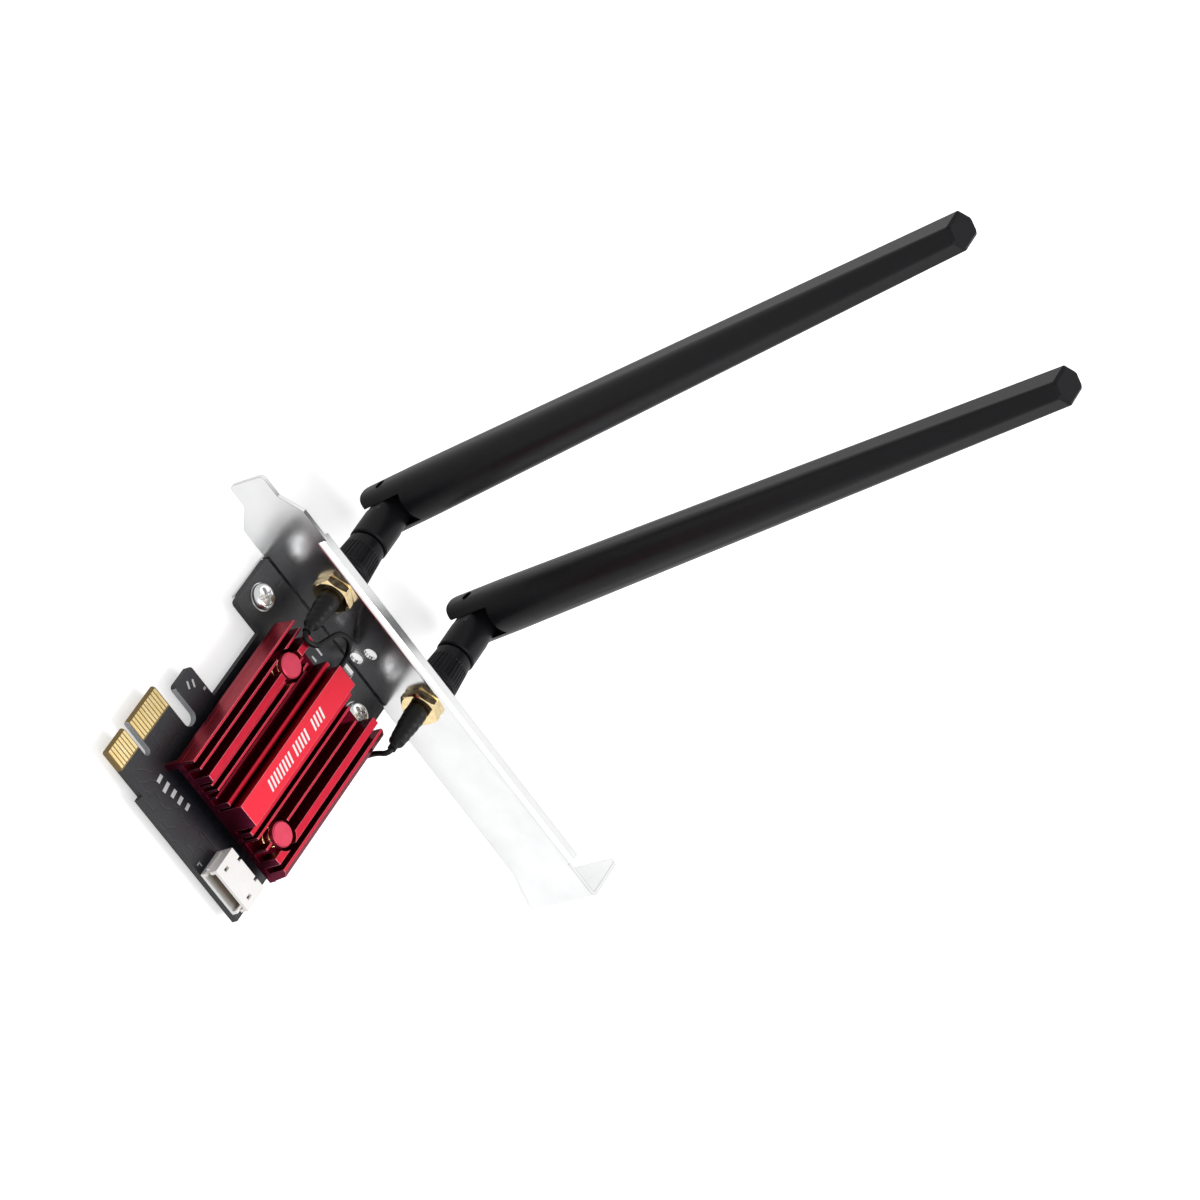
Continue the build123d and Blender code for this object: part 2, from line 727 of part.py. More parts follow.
def elbow_base():
    """Elbow base: a round lower part on the plug's stem and a flat tongue with the hinge hole."""
    start = sleeve_end + seam_gap - pivot_reach
    shoulder = -ear_back - ear_relief
    lower = shaft(start, shoulder, 0, 0, base_diameter)
    lower = fillet(lower.edges().group_by(Axis.X)[-1], 0.5)
    lower = chamfer(lower.edges().group_by(Axis.X)[0], 0.3)
    reach = base_diameter / 2
    tongue = block(shoulder - 1, 0, -elbow_tongue / 2, elbow_tongue / 2, -reach, reach)
    tongue += Rot(90, 0, 0) * Cylinder(reach, elbow_tongue)
    base = lower + (tongue & shaft(shoulder - 1, reach, 0, 0, base_diameter))
    base -= Rot(90, 0, 0) * Cylinder(hinge_pin / 2 + hinge_clearance, 2 * base_diameter)
    base -= shaft(start - 1, start + stem_length + fit_gap, 0, 0, stem_diameter + 2 * fit_gap)
    return base


def rod_section(points_half, flats_half, flat_half, corner, z):
    """A six-sided section with its points along X and its wide flats across Y, corners rounded."""
    corners = [(points_half, 0), (flat_half, flats_half), (-flat_half, flats_half),
               (-points_half, 0), (-flat_half, -flats_half), (flat_half, -flats_half)]
    face = face_of([(x, y, z) for x, y in corners])
    return fillet(face.vertices(), corner)


def antenna_rod():
    """Rod sheath: a round forked end that turns into a slim six-sided tip, bored for the radiator."""
    half = rod_round / 2
    point = half / cos(radians(30))
    round_low = rod_section(point, half, point / 2, rod_round_corner, 0)
    round_high = rod_section(point, half, point / 2, rod_round_corner, rod_straight)
    edge = rod_length - tip_chamfer
    inset = tip_chamfer
    tip_low = rod_section(tip_points / 2, tip_flats / 2, tip_flat_width / 2, tip_corner, edge)
    tip_high = rod_section(tip_points / 2 - inset, tip_flats / 2 - inset, tip_flat_width / 2 - inset / 2,
                           tip_corner, rod_length)
    body = Pos(0, 0, -ear_back) * extrude(round_low, ear_back + rod_straight, dir=(0, 0, 1))
    body += loft([round_high, tip_low])
    body += loft([tip_low, tip_high])

    clear = elbow_tongue / 2 + tongue_gap
    slot_bottom = base_diameter / 2 + fork_relief
    ear = block(-rod_round, rod_round, -rod_round, rod_round, -2 * ear_back, 0)
    ear -= Rot(90, 0, 0) * Cylinder(ear_back, 3 * rod_round)
    body -= ear
    body -= block(-rod_round, rod_round, -clear, clear, -2 * ear_back, slot_bottom)
    body -= Rot(90, 0, 0) * Cylinder(hinge_pin / 2, 2 * rod_round)
    bore_length = rod_length - bore_end_wall - bore_start
    return body - Pos(0, 0, bore_start + bore_length / 2) * Cylinder(rod_bore / 2, bore_length)


def hinge_pin_solid():
    """Hinge pin pressed into the fork's ears, its ends sunk below them."""
    return Rot(90, 0, 0) * Cylinder(hinge_pin / 2, rod_round - 2 * hinge_pin_recess)


def radiator():
    """Sleeve and whip of the aerial inside the rod."""
    sleeve = radiator_sleeve / 2
    whip = radiator_whip / 2
    top = bore_start + radiator_sleeve_length
    return turned_up([(0, bore_start), (sleeve, bore_start), (sleeve, top), (whip, top),
                      (whip, top + radiator_whip_length), (0, top + radiator_whip_length)])


# Pigtail routes: straight out of the boot, then over or round the heatsink's edge and under it to its socket
cable_z = board_top + cable_floor


def pigtail_route(side, bends):
    """A pigtail's turning points: from inside its collar, past its bends, and square onto its plug's tail."""
    y = jack_places[side]
    route = [(collar_back - 1, y, jack_z)]
    for along, across, fall in bends:
        route.append((boot_ends[side] + along, y + across, jack_z + fall * (cable_z - jack_z)))
    socket_x, socket_y = socket_places[side]
    tail = plug_ring / 2 + plug_tail
    turn = radians(plug_turns[side])
    for reach in (tail + cable_lead, tail):
        route.append((socket_x + reach * cos(turn), socket_y + reach * sin(turn), cable_z))
    return route


def bend_radii(points):
    """The largest even radii: 0.45 of the shorter run over the tangent of half the turn."""
    radii = []
    for before, here, after in zip(points, points[1:], points[2:]):
        run_in = Vector(*here) - Vector(*before)
        run_out = Vector(*after) - Vector(*here)
        half_turn = radians(run_in.get_angle(run_out)) / 2
        radii.append(0.45 * min(run_in.length, run_out.length) * cos(half_turn) / sin(half_turn))
    return radii


for side, bends in enumerate((first_bends, second_bends)):
    points = pigtail_route(side, bends)
    radii = bend_radii(points)
    name = f"coax_cable_{side + 1}"
    print(name, "bend radii", [round(radius, 1) for radius in radii])
    made[name] = pigtail(points, radii)

made["pcb"] = board()
made["edge_contacts_front"] = edge_contacts(board_top, board_top + contact_thickness)
made["edge_contacts_back"] = edge_contacts(board_under - contact_thickness, board_under)
made["bracket"] = bracket()
made["bracket_screws"] = bracket_screws()
made["heatsink"] = heatsink()
made["heatsink_pins"] = push_pins()
made["heatsink_pin_springs"] = pin_springs()
made["shield_can"] = shield_can()
made["radio_chip"] = square_at_can(chip_size, board_top, board_top + chip_height)
made["chip_thermal_pad"] = square_at_can(chip_size, board_top + chip_height, can_top - can_sheet)
made["heatsink_thermal_pad"] = square_at_can(pad_size, can_top, sink_low)
made["aerial_sockets"] = aerial_sockets()
made["aerial_plugs"] = aerial_plugs()
made["header_shroud"] = header_shroud()
made["header_pins"] = header_pin_set()
lamp_x = board_near - lamp_gap
lamp_half = lamp_size[1] / 2
lamp_y = -lamp_hole_drop - lamp_offset
made["status_lamp"] = block(lamp_x - lamp_size[0], lamp_x, lamp_y - lamp_half, lamp_y + lamp_half,
                            board_top, board_top + lamp_size[2])
made["jack_insulators"] = [jack_insulator(y) for y in jack_places]
made["jack_contacts"] = [jack_contact(y) for y in jack_places]
made["jack_washers"] = [jack_washer(y) for y in jack_places]
made["jack_nuts"] = [jack_nut(y) for y in jack_places]

for side, y in enumerate(jack_places):
    count = side + 1
    made[f"antenna_jack_{count}"] = jack(y)
    made[f"cable_boot_{count}"] = boot(y, boot_ends[side])
    made[f"antenna_{count}_sleeve"] = at_jack(antenna_sleeve(), y)
    made[f"antenna_{count}_coupling"] = at_jack(antenna_coupling(), y)
    made[f"antenna_{count}_plug"] = at_jack(antenna_plug(), y)
    made[f"antenna_{count}_base"] = at_pivot(elbow_base(), side)
    made[f"antenna_{count}_rod"] = at_pivot(antenna_rod(), side, lean_rest[side])
    made[f"antenna_{count}_hinge_pin"] = at_pivot(hinge_pin_solid(), side, lean_rest[side])
    made[f"antenna_{count}_radiator"] = at_pivot(radiator(), side, lean_rest[side])

os.makedirs("parts", exist_ok=True)
for name, solid in made.items():
    if isinstance(solid, list):
        solid = Compound(children=solid)
    export_step(solid, f"parts/{name}.step")
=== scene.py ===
import bpy
import numpy as np
from mathutils import Matrix, Vector


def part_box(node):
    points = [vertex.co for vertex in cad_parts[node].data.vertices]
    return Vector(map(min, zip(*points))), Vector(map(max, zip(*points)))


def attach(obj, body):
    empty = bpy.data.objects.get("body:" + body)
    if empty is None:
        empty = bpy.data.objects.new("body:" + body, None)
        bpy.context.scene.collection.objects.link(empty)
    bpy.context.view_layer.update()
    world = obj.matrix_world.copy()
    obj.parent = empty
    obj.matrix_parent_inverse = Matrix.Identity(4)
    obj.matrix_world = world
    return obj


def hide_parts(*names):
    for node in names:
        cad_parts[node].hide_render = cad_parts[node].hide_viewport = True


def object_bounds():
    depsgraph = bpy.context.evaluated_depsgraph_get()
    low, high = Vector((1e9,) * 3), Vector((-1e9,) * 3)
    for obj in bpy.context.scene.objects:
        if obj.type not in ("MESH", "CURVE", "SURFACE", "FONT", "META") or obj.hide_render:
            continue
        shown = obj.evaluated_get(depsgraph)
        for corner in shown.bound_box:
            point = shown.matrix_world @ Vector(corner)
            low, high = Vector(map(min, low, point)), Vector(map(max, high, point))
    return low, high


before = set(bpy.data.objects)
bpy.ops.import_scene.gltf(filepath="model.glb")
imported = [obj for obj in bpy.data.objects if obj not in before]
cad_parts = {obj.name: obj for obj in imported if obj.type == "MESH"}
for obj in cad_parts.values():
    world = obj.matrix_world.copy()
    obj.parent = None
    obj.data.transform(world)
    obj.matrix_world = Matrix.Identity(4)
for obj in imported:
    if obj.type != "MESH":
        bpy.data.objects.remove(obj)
cad_low, cad_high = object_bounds()

# Circuit board: glass laminate routed to shape, its copper pours and tented vias under a black solder mask.
# The mating tongue and the two slots beside it are cut after the mask is cured, so they stay bare; the other
# routed edges are painted dark as painted shade.
mm = 0.001
mask_on_copper = (0.0056, 0.0060, 0.0096, 1)
mask_on_glass = (0.0036, 0.0038, 0.0060, 1)
mask_roughness = (0.36, 0.46)
mask_relief = 0.02
glass_pale = (0.56, 0.59, 0.64, 1)
glass_deep = (0.30, 0.31, 0.31, 1)
glass_tan = (0.20, 0.13, 0.04, 1)
edge_painted_shade = (0.035, 0.035, 0.037, 1)
edge_roughness = 0.75
face_depth = 0.02
contact_zone = -5.4
tongue_end = 12.2
key_half = 1.05
guide_slot = (12.0, 16.2)
pours_per_mm = 0.22
pour_gap = (0.03, 0.06)
vias_per_mm = 0.55
via_rim = (0.10, 0.15)


def add(tree, kind, feeds=None, **settings):
    """Adds a shader node; feeds maps its inputs, by name or number, to sockets or plain values."""
    node = tree.nodes.new("ShaderNode" + kind)
    for key, value in settings.items():
        setattr(node, key, value)
    for key, value in (feeds or {}).items():
        if isinstance(value, bpy.types.NodeSocket):
            tree.links.new(value, node.inputs[key])
        else:
            node.inputs[key].default_value = value
    return node


def reckon(tree, operation, first, second=0.0):
    """One step of arithmetic on two values."""
    return add(tree, "Math", {0: first, 1: second}, operation=operation).outputs[0]


def between(tree, value, low, high, start=0.0, end=1.0):
    """Stretches a value that runs from start to end so that it runs from low to high, and clamps it."""
    feeds = {"Value": value, "From Min": start, "From Max": end, "To Min": low, "To Max": high}
    return add(tree, "MapRange", feeds).outputs["Result"]


def tint(tree, mask, first, second):
    """The first colour where the mask is 0, the second where it is 1."""
    return add(tree, "Mix", {0: mask, 6: first, 7: second}, data_type="RGBA").outputs[2]


def new_finish(name, **constants):
    """A material with a Principled shader: gives it, its tree, the shader and Object places in mm."""
    material = bpy.data.materials.new(name)
    material.use_nodes = True
    tree = material.node_tree
    shader = tree.nodes["Principled BSDF"]
    for socket, value in constants.items():
        shader.inputs[socket.replace("_", " ")].default_value = value
    place = add(tree, "TexCoord").outputs["Object"]
    scaled = add(tree, "Mapping", {"Vector": place, "Scale": (1 / mm, 1 / mm, 1 / mm)}).outputs["Vector"]
    return material, tree, shader, scaled


def feed(tree, shader, **sockets):
    """Links computed colours and values to the shader's own inputs."""
    for socket, value in sockets.items():
        tree.links.new(value, shader.inputs[socket.replace("_", " ")])


def relief(tree, shader, height, depth, normal=None):
    """Raises the surface by up to depth, in mm, where the height is 1."""
    feeds = {"Height": height, "Distance": depth * mm, "Strength": 1.0}
    if normal is not None:
        feeds["Normal"] = normal
    tree.links.new(add(tree, "Bump", feeds).outputs["Normal"], shader.inputs["Normal"])


def shared_effect(name, inputs, outputs):
    """An empty shader group with named sockets: gives its tree, its input node and its output node."""
    tree = bpy.data.node_groups.new(name, "ShaderNodeTree")
    for socket, kind in inputs.items():
        tree.interface.new_socket(socket, in_out="INPUT", socket_type="NodeSocket" + kind)
    for socket, kind in outputs.items():
        tree.interface.new_socket(socket, in_out="OUTPUT", socket_type="NodeSocket" + kind)
    return tree, tree.nodes.new("NodeGroupInput"), tree.nodes.new("NodeGroupOutput")


def speckle_effect():
    """Cloudy speckle from layered noise, stretched by a vector and mapped between two values."""
    sockets = {"Vector": "Vector", "Stretch": "Vector", "Low": "Float", "High": "Float"}
    tree, given, made = shared_effect("speckle", sockets, {"Value": "Float"})
    place = add(tree, "Mapping", {"Vector": given.outputs["Vector"], "Scale": given.outputs["Stretch"]})
    noise = add(tree, "TexNoise", {"Vector": place.outputs["Vector"], "Scale": 1.0, "Detail": 5.0,
                                   "Roughness": 0.6})
    value = between(tree, noise.outputs["Fac"], given.outputs["Low"], given.outputs["High"], 0.3, 0.7)
    tree.links.new(value, made.inputs["Value"])
    return tree


speckle_group = speckle_effect()


def speckle(tree, place, grains, low=0.0, high=1.0):
    """Places the speckle group: grains is how many there are to the millimetre, for all axes or for each."""
    node = tree.nodes.new("ShaderNodeGroup")
    node.node_tree = speckle_group
    tree.links.new(place, node.inputs["Vector"])
    node.inputs["Stretch"].default_value = tuple(np.broadcast_to(grains, 3))
    node.inputs["Low"].default_value = low
    node.inputs["High"].default_value = high
    return node.outputs["Value"]


def box_mm(node):
    """The low and the high corner of a CAD node, in mm."""
    return [np.array(corner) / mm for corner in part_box(node)]


def dress(material, *nodes):
    """Gives CAD nodes their finish."""
    for name in nodes:
        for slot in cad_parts[name].material_slots:
            slot.material = material


def solder_mask():
    """Black mask on the two faces, with pours parted by thin gaps and tented vias. The tongue is bare tan
    laminate, the key notch and the guide slot show pale glass, and the other edges are painted dark as
    painted shade."""
    material, tree, shader, place = new_finish("solder_mask")
    half_thickness = box_mm("pcb")[1][2]
    spot = add(tree, "SeparateXYZ", {"Vector": place}).outputs
    face = reckon(tree, "GREATER_THAN", reckon(tree, "ABSOLUTE", spot["Z"]), half_thickness - face_depth)
    in_key = reckon(tree, "LESS_THAN", reckon(tree, "ABSOLUTE", spot["X"]), key_half)
    from_slot = reckon(tree, "ABSOLUTE", reckon(tree, "SUBTRACT", spot["X"], sum(guide_slot) / 2))
    in_slot = reckon(tree, "LESS_THAN", from_slot, (guide_slot[1] - guide_slot[0]) / 2)
    tongue = reckon(tree, "MULTIPLY", reckon(tree, "GREATER_THAN", spot["Y"], contact_zone),
                    reckon(tree, "LESS_THAN", spot["X"], tongue_end))
    first, second = (add(tree, "TexVoronoi", {"Vector": place, "Scale": pours_per_mm}, distance="CHEBYCHEV",
                         feature=feature).outputs["Distance"] for feature in ("F1", "F2"))
    pour = between(tree, reckon(tree, "SUBTRACT", second, first), 0.0, 1.0, *pour_gap)
    holes = add(tree, "TexVoronoi", {"Vector": place, "Scale": vias_per_mm, "Randomness": 0.15})
    via = between(tree, holes.outputs["Distance"], 1.0, 0.0, *via_rim)
    cloud = speckle(tree, place, 0.35)
    mask_colour = tint(tree, tongue, tint(tree, pour, mask_on_glass, mask_on_copper), glass_tan)
    layers = add(tree, "TexWave", {"Vector": place, "Scale": 1.6, "Distortion": 2.0, "Detail": 3.0},
                 bands_direction="Z").outputs["Fac"]
    bare = reckon(tree, "MAXIMUM", in_key, in_slot)
    # Edges outside the tongue, the key notch and the guide slot take a flat dark colour: painted shade.
    edge_colour = tint(tree, bare, tint(tree, tongue, edge_painted_shade, glass_tan),
                       tint(tree, layers, glass_pale, glass_deep))
    gloss = speckle(tree, place, 6.0, *mask_roughness)
    feed(tree, shader, Base_Color=tint(tree, face, edge_colour, mask_colour),
         Roughness=add(tree, "Mix", {0: face, 2: edge_roughness, 3: gloss}).outputs[0])
    raised = reckon(tree, "ADD", reckon(tree, "MULTIPLY", pour, 0.6), reckon(tree, "MULTIPLY", via, 0.4))
    ripple = reckon(tree, "MULTIPLY", cloud, 0.1)
    relief(tree, shader, reckon(tree, "ADD", raised, ripple), mask_relief)
    return material


dress(solder_mask(), "pcb")

# Printed marks: white ink screened on the solder mask, a few hundredths of a millimetre thick.
# They are plain dashes, a frame round the lamp and a corner mark for the header's first pin.
# Each row is a mark's middle in X and Y, its length, its width and its turn in degrees.
ink_thickness = 0.02
board_top = box_mm("pcb")[1][2]
dashes = [(-1.9, -13.3, 2.0, 0.9, 8), (-2.0, -15.6, 2.6, 0.9, 8), (-1.5, -17.8, 2.0, 0.9, 8),
          (-1.3, -19.9, 2.0, 0.9, 8), (-0.9, -22.1, 1.7, 0.8, 8), (19.3, -6.2, 1.7, 0.5, 62),
          (20.7, -6.9, 1.7, 0.5, 62), (22.2, -9.6, 0.8, 0.6, 0), (52.6, -26.0, 0.5, 2.4, 0),
          (50.3, -26.2, 0.5, 1.5, 0)]
lamp_frame = [(54.3, -33.85, 0.15, 3.6, 0), (55.2, -32.05, 1.9, 0.15, 0), (55.2, -35.65, 1.9, 0.15, 0)]
first_pin_corner = [(-7.9, -31.5, 1.1, 0.25, 0), (-7.6, -31.9, 1.1, 0.25, 90)]
ink_pale = (0.60, 0.60, 0.60, 1)
ink_deep = (0.42, 0.42, 0.43, 1)
crease_angle = 35.0


def surface(name, grids, finish, body="card", nodes=(), looped=False):
    """A mesh from a grid of places in mm, sized copies by rings by points by 3. Each ring of points joins the
    next, the points run anticlockwise seen from where the rings go, and the end rings are capped or join."""
    copies, rings, points = grids.shape[:3]
    here = np.arange(points)
    beside = np.roll(here, -1)
    ring = np.arange(rings if looped else rings - 1)[:, None] * points
    above = (ring + points) % (rings * points)
    quads = np.stack([ring + here, ring + beside, above + beside, above + here], axis=-1).reshape(-1, 4)
    starts = np.arange(copies)[:, None] * rings * points
    faces = (quads[None] + starts[:, :, None]).reshape(-1, 4).tolist()
    if not looped:
        faces += (starts + here[::-1]).tolist()
        faces += (starts + (rings - 1) * points + here).tolist()
    mesh = bpy.data.meshes.new(name)
    mesh.from_pydata((grids.reshape(-1, 3) * mm).tolist(), [], faces)
    mesh.shade_smooth()
    mesh.set_sharp_from_angle(angle=np.radians(crease_angle))
    mesh.materials.append(finish)
    piece = bpy.data.objects.new(name, mesh)
    bpy.context.scene.collection.objects.link(piece)
    if nodes:
        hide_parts(*nodes)
    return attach(piece, body)


def flat_strips(rows, low, high, slant=0.0):
    """Thin slabs between two heights, as a grid for surface: each row is a middle, a length, a width and a
    turn in degrees, and slant pushes a slab's far long edge along its length."""
    middles, sizes, turns = rows[:, :2], rows[:, 2:4] / 2, np.radians(rows[:, 4])
    corners = np.array([(-1, -1), (1, -1), (1, 1), (-1, 1)])[None] * sizes[:, None]
    corners[..., 0] += slant * corners[..., 1]
    along = np.stack([np.cos(turns), np.sin(turns)], axis=-1)
    across = np.stack([-np.sin(turns), np.cos(turns)], axis=-1)
    places = middles[:, None] + corners[..., :1] * along[:, None] + corners[..., 1:] * across[:, None]
    heights = np.broadcast_to(np.array([low, high])[None, :, None, None], (len(rows), 2, 4, 1))
    return np.concatenate([np.repeat(places[:, None], 2, axis=1), heights], axis=-1)


def speckled(name, pale, deep, grain, roughness, depth, **constants):
    """A moulded, cast or printed surface: two close tones mixed by clouds, and a fine grain in its gloss and
    in its relief, which is depth mm deep."""
    material, tree, shader, place = new_finish(name, **constants)
    cloud = speckle(tree, place, 0.25)
    fine = speckle(tree, place, grain)
    feed(tree, shader, Base_Color=tint(tree, cloud, pale, deep),
         Roughness=between(tree, fine, roughness, roughness + 0.12))
    relief(tree, shader, fine, depth)
    return material


white_ink = speckled("white_ink", ink_pale, ink_deep, grain=6.0, roughness=0.55, depth=0.01)
board_rows = np.array(dashes + lamp_frame + first_pin_corner)
surface("board_marks", flat_strips(board_rows, board_top, board_top + ink_thickness), white_ink)

# Edge contacts: hard gold over nickel, plated on the copper fingers of the mating tongue.
# Sliding in and out of a slot leaves faint lengthwise rubs on the plating.
gold_bright = (1.0, 0.83, 0.46, 1)
gold_deep = (0.95, 0.70, 0.28, 1)


def gold_plate(name, rubs, roughness):
    """Gold plating with cloudy colour, and rub marks along the axis that has the fewest to the millimetre."""
    material, tree, shader, place = new_finish(name, Metallic=1.0)
    marks = speckle(tree, place, rubs)
    cloud = speckle(tree, place, 0.6)
    feed(tree, shader, Base_Color=tint(tree, cloud, gold_bright, gold_deep),
         Roughness=between(tree, marks, roughness, roughness + 0.1))
    relief(tree, shader, marks, 0.0015)
    return material


finger_gold = gold_plate("finger_gold", rubs=(9.0, 0.7, 9.0), roughness=0.2)
dress(finger_gold, "edge_contacts_front", "edge_contacts_back")

# Radio under the heatsink: a chip moulded in black epoxy, with a tinned steel can soldered down over it.
# Soft grey pads carry the heat from the chip to the can and from the can to the heatsink.
tin_bright = (0.78, 0.77, 0.75, 1)
tin_dull = (0.58, 0.57, 0.55, 1)
tin_roughness = (0.3, 0.45)
epoxy_pale = (0.02, 0.02, 0.022, 1)
epoxy_deep = (0.012, 0.012, 0.013, 1)
pad_pale = (0.33, 0.36, 0.38, 1)
pad_deep = (0.26, 0.28, 0.31, 1)


def tin_plate():
    """Tin plating: dull spangles a millimetre or so across."""
    material, tree, shader, place = new_finish("tin_plate", Metallic=1.0)
    spangle = add(tree, "TexVoronoi", {"Vector": place, "Scale": 1.4}).outputs["Distance"]
    fine = speckle(tree, place, 5.0)
    feed(tree, shader, Base_Color=tint(tree, spangle, tin_bright, tin_dull),
         Roughness=between(tree, fine, *tin_roughness))
    relief(tree, shader, fine, 0.006)
    return material


tin = tin_plate()
dress(tin, "shield_can")
dress(speckled("chip_epoxy", epoxy_pale, epoxy_deep, grain=9.0, roughness=0.5, depth=0.01), "radio_chip")
pad_grey = speckled("thermal_pad", pad_pale, pad_deep, grain=5.0, roughness=0.75, depth=0.02)
dress(pad_grey, "chip_thermal_pad", "heatsink_thermal_pad")

# Aerial sockets: miniature coaxial sockets, stamped from brass and gold plated.
# They are soldered to the board beside the can, and the pigtails snap onto them.
socket_gold = gold_plate("socket_gold", rubs=4.0, roughness=0.2)
dress(socket_gold, "aerial_sockets")

# Header: a side-entry shroud moulded in off-white nylon with a rib on its side, soldered at the far corner.
# Its square pins are tinned brass, bent down behind it.
nylon_pale = (0.88, 0.865, 0.85, 1)
nylon_deep = (0.84, 0.815, 0.795, 1)
nylon_painted_shade = (0.30, 0.245, 0.20, 1)
nylon_roughness = (0.36, 0.48)
nylon_edge = 0.12
shroud_wall = 0.72
mouth_shade_span = (0.1, 1.6)
shroud_rib = (5.4, 0.44)
shroud_rib_heights = (1.5, 2.4)


def soft_edge_effect():
    """Rounds the look of sharp edges: gives a normal averaged round each edge, and a mask that is 1 there."""
    tree, given, made = shared_effect("soft_edge", {"Radius": "Float"}, {"Mask": "Float", "Normal": "Vector"})
    eased = add(tree, "Bevel", {"Radius": given.outputs["Radius"]}, samples=4).outputs["Normal"]
    true = add(tree, "NewGeometry").outputs["True Normal"]
    same = add(tree, "VectorMath", {0: eased, 1: true}, operation="DOT_PRODUCT").outputs["Value"]
    tree.links.new(between(tree, same, 1.0, 0.0, 0.75, 0.995), made.inputs["Mask"])
    tree.links.new(eased, made.inputs["Normal"])
    return tree


soft_edge_group = soft_edge_effect()


def soft_edge(tree, radius):
    """Places the soft edge group with a radius in mm: gives its outputs, Mask and Normal."""
    node = tree.nodes.new("ShaderNodeGroup")
    node.node_tree = soft_edge_group
    node.inputs["Radius"].default_value = radius * mm
    return node.outputs


def nylon():
    """Moulded nylon with faint clouds and a fine grain, darker and browner inside the mouth as painted shade.
    """
    material, tree, shader, place = new_finish("white_nylon", Subsurface_Weight=0.1,
                                               Subsurface_Scale=0.4 * mm)
    low, high = box_mm("header_shroud")
    middle, half = (low + high) / 2, (high - low) / 2
    spot = add(tree, "SeparateXYZ", {"Vector": place}).outputs
    # Painted shade: the mouth's inner walls darken to a brown grey from the rim inwards.
    shaded_inside = between(tree, spot["X"], 0.0, 1.0, low[0] + mouth_shade_span[0], low[0] + mouth_shade_span[1])
    for axis, name in ((1, "Y"), (2, "Z")):
        off = reckon(tree, "ABSOLUTE", reckon(tree, "SUBTRACT", spot[name], middle[axis]))
        within = reckon(tree, "LESS_THAN", off, half[axis] - shroud_wall)
        shaded_inside = reckon(tree, "MULTIPLY", shaded_inside, within)
    cloud = speckle(tree, place, 0.25)
    fine = speckle(tree, place, 4.0)
    clean = tint(tree, cloud, nylon_pale, nylon_deep)
    feed(tree, shader, Base_Color=tint(tree, shaded_inside, clean, nylon_painted_shade),
         Roughness=between(tree, fine, *nylon_roughness))
    relief(tree, shader, fine, 0.006, soft_edge(tree, nylon_edge)["Normal"])
    return material


white_nylon = nylon()
dress(white_nylon, "header_shroud")
shroud_low, shroud_high = box_mm("header_shroud")
rib_middle = ((shroud_low[0] + shroud_high[0]) / 2, shroud_high[1] + shroud_rib[1] / 2)
rib_low, rib_high = (board_top + height for height in shroud_rib_heights)
surface("header_rib", flat_strips(np.array([(*rib_middle, *shroud_rib, 0)]), rib_low, rib_high), white_nylon)
dress(tin, "header_pins")

# Status lamp: a small white light-emitting diode, cast in milky resin.
# It is soldered to the board behind the lower of the bracket's two round holes.
resin_pale = (0.90, 0.90, 0.88, 1)
resin_deep = (0.84, 0.84, 0.81, 1)
dress(speckled("lamp_resin", resin_pale, resin_deep, grain=6.0, roughness=0.3, depth=0.004), "status_lamp")

# Slot bracket: one piece of steel sheet, stamped, folded and nickel plated bright.
# Its inner face mirrors the board, and rolling has left a faint grain along its length.
nickel_pale = (0.88, 0.885, 0.89, 1)
nickel_deep = (0.81, 0.815, 0.82, 1)
nickel_edge = (0.30, 0.30, 0.31, 1)
nickel_edge_width = 0.3


def bright_nickel(name, grains, roughness, shade=0.0):
    """Nickel plate: long rolling grain in its gloss and relief, clouds in its tone, and thin grey cut edges.
    Shade dulls it all over towards the grey of the edges."""
    material, tree, shader, place = new_finish(name, Metallic=1.0)
    rolled = speckle(tree, place, grains)
    cloud = speckle(tree, place, 0.12)
    dulled = reckon(tree, "MAXIMUM", soft_edge(tree, nickel_edge_width)["Mask"], shade)
    plate = tint(tree, cloud, nickel_pale, nickel_deep)
    feed(tree, shader, Base_Color=tint(tree, dulled, plate, nickel_edge),
         Roughness=between(tree, rolled, roughness, roughness + 0.06))
    relief(tree, shader, rolled, 0.0006)
    return material


dress(bright_nickel("bracket_nickel", grains=(8.0, 0.25, 8.0), roughness=0.19), "bracket")

# Bracket screws: cold formed in steel and nickel plated, with a cross pressed into a domed head and a thread
# rolled on the shank. Each clamps the board to a tab of the bracket, on a tinned ring of bare copper.
head_rounding = 1.054
head_rim = 0.15
dome_rise = 0.12
thread_radius = 1.45
thread_depth = 0.2
thread_pitch = 0.6
tip_length = 0.5
tip_slimness = 0.55
recess_depth = 0.85
recess_side = (0.24, 0.46)
recess_end = (1.25, 1.85)
recess_turn = 20
land_radii = (1.7, 3.05)
land_thickness = 0.04


def eased_step(value, start, end):
    """0 before start, 1 after end, and a smooth rise between them."""
    share = np.clip((value - start) / (end - start), 0, 1)
    return share * share * (3 - 2 * share)


